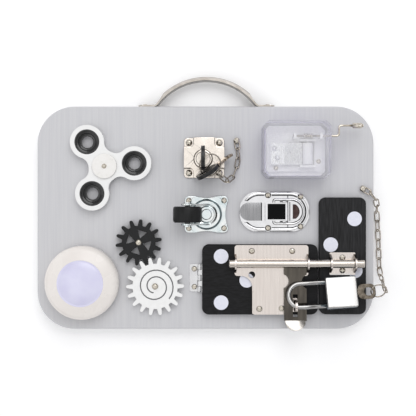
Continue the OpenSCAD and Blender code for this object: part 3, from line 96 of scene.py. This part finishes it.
world = bpy.data.worlds.new("studio")
world.use_nodes = True
scene.world = world
ray = add(world, "ShaderNodeLightPath")
aim = add(world, "ShaderNodeTexCoord")
height = add(world, "ShaderNodeSeparateXYZ", {0: aim.outputs["Generated"]})
walls = add(world, "ShaderNodeValToRGB", {0: height.outputs["Z"]})
for place, tone in ((0.0, "#DCDCDC"), (0.16, "#3C3C3F"), (0.34, "#F6F6F6"), (0.62, "#FFFFFF"),
                    (0.8, "#3E3B3A"), (0.93, "#FFFFFF")):
    if place < 0.93:
        stop = walls.color_ramp.elements[0] if place == 0.0 else walls.color_ramp.elements.new(place)
    else:
        stop = walls.color_ramp.elements[-1]
        stop.position = place
    stop.color = colour(tone)
mirrored = add(world, "ShaderNodeMix",
               {"Factor": ray.outputs["Is Glossy Ray"], 7: walls.outputs["Color"]}, data_type="RGBA")
mirrored.inputs[6].default_value = (0.66, 0.66, 0.67, 1)
plain = add(world, "ShaderNodeMath",
            {0: ray.outputs["Is Camera Ray"], 1: ray.outputs["Is Transmission Ray"]}, operation="MAXIMUM")
backdrop = add(world, "ShaderNodeMix", {"Factor": plain.outputs[0], 6: mirrored.outputs[2]},
               data_type="RGBA")
backdrop.inputs[7].default_value = (1, 1, 1, 1)
world.node_tree.links.new(backdrop.outputs[2], world.node_tree.nodes["Background"].inputs["Color"])

for name, spot, size, power in (("soft lamp", (0.15, 0.75, 1.05), 0.9, 5.6),
                                ("fill lamp", (-0.7, -0.3, 1.0), 1.0, 1.8)):
    data = bpy.data.lights.new(name, "AREA")
    data.size = size
    data.energy = power
    lamp = bpy.data.objects.new(name, data)
    lamp.location = spot
    lamp.rotation_euler = (-Vector(spot)).to_track_quat("-Z", "Y").to_euler()
    scene.collection.objects.link(lamp)

bpy.ops.object.select_all(action="DESELECT")
TABLE_SIZE, TABLE_DROP = 6000, 0.2
bpy.ops.mesh.primitive_plane_add(size=TABLE_SIZE * MM, location=(0, 0, -TABLE_DROP * MM))
table = bpy.context.object
table.name = "table"
table_paint = bpy.data.materials.new("white table paint")
table_paint.use_nodes = True
paint = table_paint.node_tree.nodes["Principled BSDF"]
paint.inputs["Base Color"].default_value = colour("#FFFFFF")
paint.inputs["Roughness"].default_value = 0.9
paint.inputs["Emission Color"].default_value = colour("#FFFFFF")
paint.inputs["Emission Strength"].default_value = 0.1
table.data.materials.append(table_paint)

# ---------------------------------------------------------------- board
# A plywood board 15 mm thick, sanded, sprayed and brushed with a satin light grey lacquer. The
# brush leaves a faint upright drag, about a millimetre from line to line.


def finish(name, tones, rough, grain, relief, detail=4.0, **sockets):
    """A material whose colour, gloss and relief follow one noise. Its grain is in mm along X, Y and Z."""
    made = bpy.data.materials.new(name)
    made.use_nodes = True
    shader = made.node_tree.nodes["Principled BSDF"]
    for socket, value in sockets.items():
        shader.inputs[socket.replace("_", " ")].default_value = value
    spot = add(made, "ShaderNodeTexCoord")
    scale = add(made, "ShaderNodeMapping", {"Vector": spot.outputs["Object"]},
                Scale=[1 / (size * MM) for size in grain])
    cloud = add(made, "ShaderNodeTexNoise", {"Vector": scale.outputs[0]}, Scale=1.0, Detail=detail)
    tint = add(made, "ShaderNodeValToRGB", {0: cloud.outputs[0]})
    for stop, place, tone in zip(tint.color_ramp.elements, (0.35, 0.65), tones):
        stop.position = place
        stop.color = colour(tone)
    gloss = add(made, "ShaderNodeMapRange", {"Value": cloud.outputs[0]}, From_Min=0.3, From_Max=0.7,
                To_Min=rough[0], To_Max=rough[1])
    bump = add(made, "ShaderNodeBump", {"Height": cloud.outputs[0]}, Strength=0.5, Distance=relief * MM)
    for source, socket in ((tint, "Base Color"), (gloss, "Roughness"), (bump, "Normal")):
        made.node_tree.links.new(source.outputs[0], shader.inputs[socket])
    return made


def metal(name, tones, rough, grain, relief):
    """A material of bare or plated metal. Some of them carry a painted reflection or painted shade."""
    return finish(name, tones, rough, grain, relief, Metallic=1.0)


def dress(material, *nodes):
    """Gives CAD nodes one finish."""
    for node in nodes:
        mesh = bpy.data.objects[node].data
        mesh.materials.clear()
        mesh.materials.append(material)


SHARP = math.radians(30)


def soften(node, radius, material):
    """A copy of a CAD node with its doubles merged and its edges rounded, which replaces it."""
    made = bpy.data.objects.new("soft_" + node, bpy.data.objects[node].data.copy())
    scene.collection.objects.link(made)
    bpy.ops.object.select_all(action="DESELECT")
    made.select_set(True)
    bpy.context.view_layer.objects.active = made
    bpy.ops.object.mode_set(mode="EDIT")
    bpy.ops.mesh.select_all(action="SELECT")
    bpy.ops.mesh.remove_doubles(threshold=0.003 * MM)
    bpy.ops.object.mode_set(mode="OBJECT")
    if radius:
        edges = made.modifiers.new("edges", "BEVEL")
        edges.width = radius * MM
        edges.segments = 3
        edges.limit_method = "ANGLE"
        edges.angle_limit = SHARP
        bpy.ops.object.modifier_apply(modifier="edges")
    bpy.ops.object.shade_smooth_by_angle(angle=SHARP)
    # level faces stay flat, so that long thin triangles leave no streaks on them
    for face in made.data.polygons:
        if abs(face.normal.z) > 0.9999:
            face.use_smooth = False
    made.data.materials.clear()
    made.data.materials.append(material)
    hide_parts(node)
    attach(made, bpy.data.objects[node]["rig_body"])
    return made


def second(piece, material, test):
    """Gives the faces that pass a test a second material: for most pieces a painted shade or reflection on
    their sides, for some another finish.
    """
    piece.data.materials.append(material)
    for face in piece.data.polygons:
        if test(face.center / MM, face.normal):
            face.material_index = len(piece.data.materials) - 1


lacquer = finish("grey satin lacquer on plywood", ("#CBCBCE", "#D0D0D2"), (0.4, 0.5), (1.4, 60, 1.4),
                 0.006, detail=6.0, Specular_IOR_Level=0.3)
soften("board", 0, lacquer)

# ---------------------------------------------------------------- carrying handle
# A steel strap bent to an arch and pressed to a crown for the hand, polished and nickel plated. It
# is held by a countersunk screw through each foot.

nickel = metal("polished nickel plate", ("#BDB6AE", "#CFC9C2"), (0.08, 0.16), (6, 6, 6), 0.002)
handle = soften("handle", 0.25, nickel)
# The strap's upright sides are darkened with a painted dark reflection.
nickel_side_painted_reflection = metal("strap sides in nickel, darkened with painted reflection", ("#4C4540", "#6E665F"), (0.1, 0.2), (6, 6, 6),
                    0.002)
second(handle, nickel_side_painted_reflection, lambda spot, way: abs(way.z) < 0.42)
screw_plate = metal("nickel plated screw steel", ("#C3BCAF", "#DAD3C8"), (0.12, 0.2), (1.5, 1.5, 1.5),
                    0.004)
for node in ("handle_screws", "spinner_screw", "gear_screws", "lock_screws", "bolt_screws", "plate_screws"):
    soften(node, 0, screw_plate)

# ---------------------------------------------------------------- fidget spinner
# A three-lobed body moulded in glossy white ABS with soft edges. Three turned steel rings painted
# black weight its lobes, and a white cap screwed to the board closes its bearing.

abs_white = finish("glossy white moulded ABS", ("#EFEFEE", "#F2F2F1"), (0.18, 0.26), (6, 6, 6), 0.005,
                   Coat_Weight=0.3)
soften("spinner_body", 0.7, abs_white)
black_paint = finish("black paint on turned steel", ("#070708", "#101113"), (0.2, 0.3), (2, 2, 2), 0.004,
                     Coat_Weight=0.5)
soften("spinner_weights", 0.2, black_paint)
race_steel = metal("ground bearing steel", ("#BDBFC3", "#D0D2D5"), (0.2, 0.3), (0.6, 0.6, 3), 0.01)
dress(race_steel, "spinner_bearing_outer", "spinner_bearing_inner", "gear_washers")
cap_white = finish("off-white moulded cap", ("#EDEBE7", "#F2F0ED"), (0.26, 0.36), (4, 4, 4), 0.02)
soften("spinner_cap", 0.4, cap_white)

# ---------------------------------------------------------------- gears
# Two flat gears cut from acetal sheet. The white one has a spiral cut into its face, whose floor is
# coloured dark grey; the black one has four windows, and each turns under a pan head screw.

acetal_white = finish("white acetal sheet", ("#F1F1F0", "#F6F6F5"), (0.3, 0.42), (5, 5, 5), 0.02)
groove_floor_grey = finish("dark grey on the cut groove's floor", ("#6A6A6D", "#77777A"), (0.45, 0.6), (1.5, 1.5, 1.5),
                     0.02)
gear = soften("gear_white", 0, acetal_white)
low, high = [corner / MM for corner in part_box("gear_white")]
middle = (low + high) / 2
SPIRAL_R = 19
# The floor of the spiral groove is coloured dark grey.
second(gear, groove_floor_grey, lambda spot, way: low.z + 1 < spot.z < high.z - 0.05
       and math.hypot(spot.x - middle.x, spot.y - middle.y) < SPIRAL_R)
acetal_black = finish("black acetal sheet", ("#0D0E10", "#161719"), (0.36, 0.5), (4, 4, 4), 0.01,
                      Specular_IOR_Level=0.3)
soften("gear_black", 0, acetal_black)

# ---------------------------------------------------------------- tap light
# A round battery light. Its ring is moulded in cream polystyrene and its lens in milky acrylic,
# which looks faintly violet over the white diodes below it.

cream = finish("cream moulded polystyrene", ("#ECE6E1", "#EFEAE5"), (0.22, 0.3), (20, 20, 20), 0.01)
soften("light_bezel", 0.6, cream)
dress(cream, "light_base")
milk = finish("milky acrylic", ("#D6D4EE", "#DDDCF2"), (0.16, 0.24), (14, 14, 14), 0.005, Coat_Weight=0.4)
soften("light_lens", 0, milk)
laminate = finish("green circuit laminate", ("#356943", "#43794F"), (0.35, 0.45), (2, 2, 2), 0.02)
dress(laminate, "light_circuit")
cell_can = metal("steel battery can", ("#9C9FA4", "#B0B3B7"), (0.25, 0.35), (2, 2, 2), 0.02)
dress(cell_can, "light_batteries")

# ---------------------------------------------------------------- drawer lock
# A pressed steel case with four notched corners for its screws and a turned barrel, both plated in
# warm satin nickel. A black moulded key stands in the plug and turns it.

lock_nickel = metal("warm satin nickel plate", ("#EDE4DA", "#F4ECE3"), (0.2, 0.26), (9, 9, 9), 0.001)
# The upright sides of case, barrel and plug are darkened with painted shade.
lock_side_painted_shade = metal("lock sides in nickel, darkened with painted shade", ("#3B332C", "#5E544B"), (0.2, 0.3), (4, 4, 4), 0.002)
for node, radius in (("lock_case", 0.55), ("lock_barrel", 0.45), ("lock_plug", 0.3)):
    piece = soften(node, radius, lock_nickel)
    second(piece, lock_side_painted_shade, lambda spot, way: abs(way.z) < 0.7)
zinc_press = metal("pressed zinc plated steel", ("#A5A4A1", "#B8B7B4"), (0.3, 0.4), (1.5, 1.5, 1.5), 0.02)
dress(zinc_press, "lock_backplate", "lock_bolt")
key_black = finish("black moulded key head", ("#0B0B0C", "#151517"), (0.28, 0.42), (2, 2, 2), 0.01)
soften("lock_key", 0.4, key_black)
spare = soften("spare_key", 0.4, key_black)
key_blade = metal("brushed brown nickel key blade", ("#8B7F72", "#B5A899"), (0.2, 0.32), (2, 2, 2), 0.01)
BLADE_LENGTH, BLADE_HEADING, BLADE_FALL = 17.2, math.radians(37), 0.42
blade_way = Vector((math.cos(BLADE_HEADING), math.sin(BLADE_HEADING), -BLADE_FALL)).normalized()
blade_from = max(face.center.dot(blade_way) for face in spare.data.polygons) / MM - BLADE_LENGTH
second(spare, key_blade, lambda spot, way: spot.dot(blade_way) > blade_from)

# ---------------------------------------------------------------- key chains
# A second key and a short chain hang from the split ring, and a longer chain holds the padlock's
# key. The links are bent from nickel plated wire, tarnished a little where they rub.

chain_nickel = metal("nickel plated wire", ("#8F877D", "#C9C1B7"), (0.12, 0.24), (2.5, 2.5, 2.5), 0.002)
for node in ("spare_key_ring", "lock_chain", "padlock_chain"):
    soften(node, 0, chain_nickel)

# ---------------------------------------------------------------- music box
# A hand-cranked movement in a clear moulded case. The bed is die-cast zinc, the comb ground steel,
# and the crank bent wire with a turned knob.

styrene = finish("clear moulded styrene", ("#F9F9FC", "#FFFFFF"), (0.04, 0.08), (12, 12, 12), 0.002,
                 Alpha=0.2)
music_case = soften("music_case", 0.8, styrene)
styrene_edge = finish("clear styrene at its corners", ("#D2CEEC", "#E9E7F8"), (0.05, 0.1), (9, 9, 9),
                      0.002, Alpha=0.55)
second(music_case, styrene_edge, lambda spot, way: abs(way.z) < 0.9)
cast = finish("bright die-cast zinc", ("#F2F2F4", "#FAFAFB"), (0.35, 0.5), (2.5, 2.5, 2.5), 0.01)
for node in ("music_bedplate", "music_drum"):
    soften(node, 0.15, cast)
comb_steel = finish("ground comb steel", ("#DBDCDF", "#EBECEE"), (0.22, 0.32), (0.5, 4, 1), 0.02,
                    Metallic=0.8)
soften("music_comb", 0, comb_steel)
crank_wire = metal("plated crank wire", ("#C9C1B4", "#DDD6CB"), (0.14, 0.24), (1.5, 1.5, 1.5), 0.02)
for node in ("music_crank", "crank_knob"):
    soften(node, 0, crank_wire)

# ---------------------------------------------------------------- caster
# A small swivel caster of pressed steel in bluish zinc plate, with a moulded black wheel on a
# riveted axle.

zinc_blue = metal("bluish zinc plate", ("#D9E4E6", "#F1F3F2"), (0.1, 0.2), (9, 9, 9), 0.004)
# The caster's upright sides are darkened with a painted dark reflection.
zinc_side_painted_reflection = metal("caster sides in zinc, darkened with painted reflection", ("#4C5A5E", "#6F7F83"), (0.12, 0.22), (4, 4, 4),
                  0.002)
for node, radius in (("caster_plate", 0.35), ("caster_fork", 0.35), ("caster_kingpin", 0.3),
                     ("caster_axle", 0.3)):
    piece = soften(node, radius, zinc_blue)
    second(piece, zinc_side_painted_reflection, lambda spot, way: abs(way.z) < 0.6)
tyre = finish("black moulded rubber", ("#0A0B0C", "#141516"), (0.35, 0.5), (1.5, 1.5, 1.5), 0.01,
              Specular_IOR_Level=0.3)
soften("caster_wheel", 0.4, tyre)

# ---------------------------------------------------------------- toggle latch
# A pressed steel case latch, polished and chrome plated. Its lever ends in a satin tongue and holds
# a glossy black inlay.

chrome = metal("polished chrome plate", ("#E2E2E4", "#ECECEE"), (0.04, 0.1), (8, 8, 8), 0.002)
# The upright sides of the latch's pieces are darkened with a painted dark reflection.
chrome_side_painted_reflection = metal("latch sides in chrome, darkened with painted reflection", ("#2E2E31", "#505054"), (0.06, 0.14), (5, 5, 5),
                    0.002)
for node, radius in (("latch_base", 0.5), ("latch_catch", 0.2), ("latch_bail", 0), ("latch_pin", 0)):
    piece = soften(node, radius, chrome)
    second(piece, chrome_side_painted_reflection, lambda spot, way: abs(way.z) < 0.72)
hook_shade = metal("brown reflection in the hook", ("#3E3130", "#5C4D4A"), (0.2, 0.3), (5, 5, 5), 0.002)
second(bpy.data.objects["soft_latch_catch"], hook_shade,
       lambda spot, way: way.z > 0.9 and 18.5 < spot.z < 19.1)
tongue_satin = metal("satin chrome tongue", ("#8E8E90", "#9E9EA0"), (0.22, 0.34), (0.8, 20, 0.8), 0.004)
lever = soften("latch_lever", 0.3, chrome)
tongue_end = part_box("latch_lever")[0].x / MM + 20
second(lever, tongue_satin, lambda spot, way: spot.x < tongue_end and way.z > 0.9)
# The lever's sides get the same painted dark reflection.
second(lever, chrome_side_painted_reflection, lambda spot, way: abs(way.z) < 0.6)

# The pressed rim of the latch is a round bead that runs from one side of the tongue to the other
# and stops short of each screw.
BEAD_R, BEAD_WIRE, BEAD_STRAIGHT = 15.9, 1.9, 26.4
BEAD_MOUTH, SCREW_ROOM = 18.4, 3.2
bend_middle = Vector((48.3, 5.4, 16.0))
bpy.ops.object.select_all(action="DESELECT")
bpy.ops.mesh.primitive_torus_add(major_segments=72, minor_segments=20, major_radius=BEAD_R * MM,
                                 minor_radius=BEAD_WIRE * MM)
rim_bead = bpy.context.object
rim_bead.name = "latch_rim_bead"
bpy.ops.object.mode_set(mode="EDIT")
bpy.ops.mesh.select_all(action="DESELECT")
bpy.ops.object.mode_set(mode="OBJECT")
for point in rim_bead.data.vertices:
    point.select = point.co.x < 0 and abs(point.co.y) < BEAD_MOUTH / 2 * MM
bpy.ops.object.mode_set(mode="EDIT")
bpy.ops.mesh.delete(type="VERT")
bpy.ops.object.mode_set(mode="OBJECT")
for point in rim_bead.data.vertices:
    point.co += (bend_middle + Vector((BEAD_STRAIGHT * (point.co.x > 0), 0, 0))) * MM
bpy.ops.object.mode_set(mode="EDIT")
bpy.ops.mesh.select_all(action="SELECT")
bpy.ops.mesh.fill_holes(sides=0)
bpy.ops.mesh.normals_make_consistent(inside=False)
bpy.ops.object.mode_set(mode="OBJECT")
for x, y in ((55.7, 20.0), (55.7, -9.2), (84.6, 18.6), (84.6, -7.8)):
    bpy.ops.mesh.primitive_cylinder_add(vertices=48, radius=SCREW_ROOM * MM, depth=8 * MM,
                                        location=(x * MM, y * MM, 17 * MM))
    gap = bpy.context.object
    cut = rim_bead.modifiers.new("gap", "BOOLEAN")
    cut.object = gap
    bpy.ops.object.select_all(action="DESELECT")
    bpy.context.view_layer.objects.active = rim_bead
    bpy.ops.object.modifier_apply(modifier="gap")
    bpy.data.objects.remove(gap)
rim_bead.select_set(True)
bpy.ops.object.shade_smooth_by_angle(angle=math.radians(40))
rim_bead.data.materials.append(chrome)
# The bead's sides get the same painted dark reflection.
second(rim_bead, chrome_side_painted_reflection, lambda spot, way: abs(way.z) < 0.8)
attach(rim_bead, bpy.data.objects["latch_base"]["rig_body"])

inlay = finish("glossy black inlay", ("#020304", "#060709"), (0.5, 0.6), (4, 4, 4), 0.002,
               Specular_IOR_Level=0.1)
soften("latch_insert", 0.15, inlay)

# ---------------------------------------------------------------- door and side panel
# Two boards faced with black grained laminate, with soft edges and flush white dots. The grain runs
# along the door and up the side panel, and is drawn a little coarse so that it shows.

door_grain = finish("black laminate, grain across", ("#0A0A0B", "#1C1C1E"), (0.42, 0.55),
                    (5, 0.9, 0.9), 0.03, detail=5.0, Specular_IOR_Level=0.2)
soften("door_panel", 0.6, door_grain)
side_grain = finish("black laminate, grain upright", ("#0E0E10", "#29292B"), (0.42, 0.55),
                    (0.9, 14, 0.9), 0.03, detail=5.0, Specular_IOR_Level=0.25)
soften("side_panel", 0.6, side_grain)
dot_white = finish("white dot inlay", ("#E2E4F0", "#E9EAF4"), (0.4, 0.5), (2, 2, 2), 0.02)
for node in ("panel_dots", "door_dots"):
    soften(node, 0, dot_white)
hinge_plate = metal("pale nickel plate", ("#D3D3D5", "#DCDCDD"), (0.22, 0.3), (5, 5, 5), 0.002)
for node in ("hinge_board_leaf", "hinge_door_leaf"):
    soften(node, 0.12, hinge_plate)

# ---------------------------------------------------------------- door bolt
# Plate, keeper and rod of stainless steel. The plates are belt-finished across, the rod is drawn,
# so its scratches run along it.

stainless = metal("satin stainless sheet", ("#DAD1CB", "#E1D9D3"), (0.22, 0.28), (1.4, 30, 1.4), 0.0003)
# The upright cut edges of plate and keeper are darkened with painted shade.
steel_side_painted_shade = metal("cut edge of stainless sheet, darkened with painted shade", ("#6A625B", "#8B837B"), (0.2, 0.3), (1.5, 1.5, 1.5),
                   0.004)
for node in ("bolt_plate", "keeper"):
    piece = soften(node, 0.3, stainless)
    second(piece, steel_side_painted_shade, lambda spot, way: abs(way.z) < 0.6)
drawn_rod = metal("drawn stainless rod", ("#C9C1B9", "#D8D0C8"), (0.14, 0.22), (40, 1.0, 1.0), 0.002)
rod = soften("bolt_rod", 0.3, drawn_rod)
# The tab is coloured dark and its lip lighter: painted reflections of a darker and a lighter part of the
# room.
tab_painted_dark_reflection = metal("polished tab with painted dark reflection", ("#4E4A45", "#625D56"), (0.08, 0.16), (3, 20, 3), 0.002)
lip_painted_light_reflection = metal("polished lip with painted light reflection", ("#B6B2AD", "#C2BEB9"), (0.12, 0.2), (6, 6, 6), 0.002)
TAB_TOP, LIP_TOP = -44.5, -90.9
second(rod, tab_painted_dark_reflection, lambda spot, way: LIP_TOP < spot.y < TAB_TOP)
second(rod, lip_painted_light_reflection, lambda spot, way: spot.y < LIP_TOP)

# ---------------------------------------------------------------- padlock
# A die-cast body and a round shackle, polished and chrome plated, with a flat stamped key in the
# end of the body.

padlock_chrome = metal("polished padlock chrome", ("#A9A8A7", "#B3B2B1"), (0.12, 0.2), (9, 9, 9), 0.002)
# The body's sides and underside carry a painted bluish reflection.
padlock_side_painted_reflection = metal("padlock sides in chrome with painted bluish reflection", ("#7F8C96", "#A9B3BA"), (0.1, 0.2),
                     (9, 9, 9), 0.002)
padlock_body = soften("padlock_body", 0.6, padlock_chrome)
second(padlock_body, padlock_side_painted_reflection, lambda spot, way: way.z < 0.6)
shackle = soften("padlock_shackle", 0, padlock_chrome)
# The shackle's sides are darkened with a painted dark reflection.
shackle_side_painted_reflection = metal("shackle sides in chrome, darkened with painted reflection", ("#3A3A3C", "#6B6B6D"), (0.06, 0.12), (9, 9, 9),
                     0.002)
second(shackle, shackle_side_painted_reflection, lambda spot, way: abs(way.z) < 0.5)
key_steel = metal("stamped key steel", ("#453F38", "#655E55"), (0.2, 0.32), (2.5, 2.5, 2.5), 0.006)
soften("padlock_key", 0.2, key_steel)
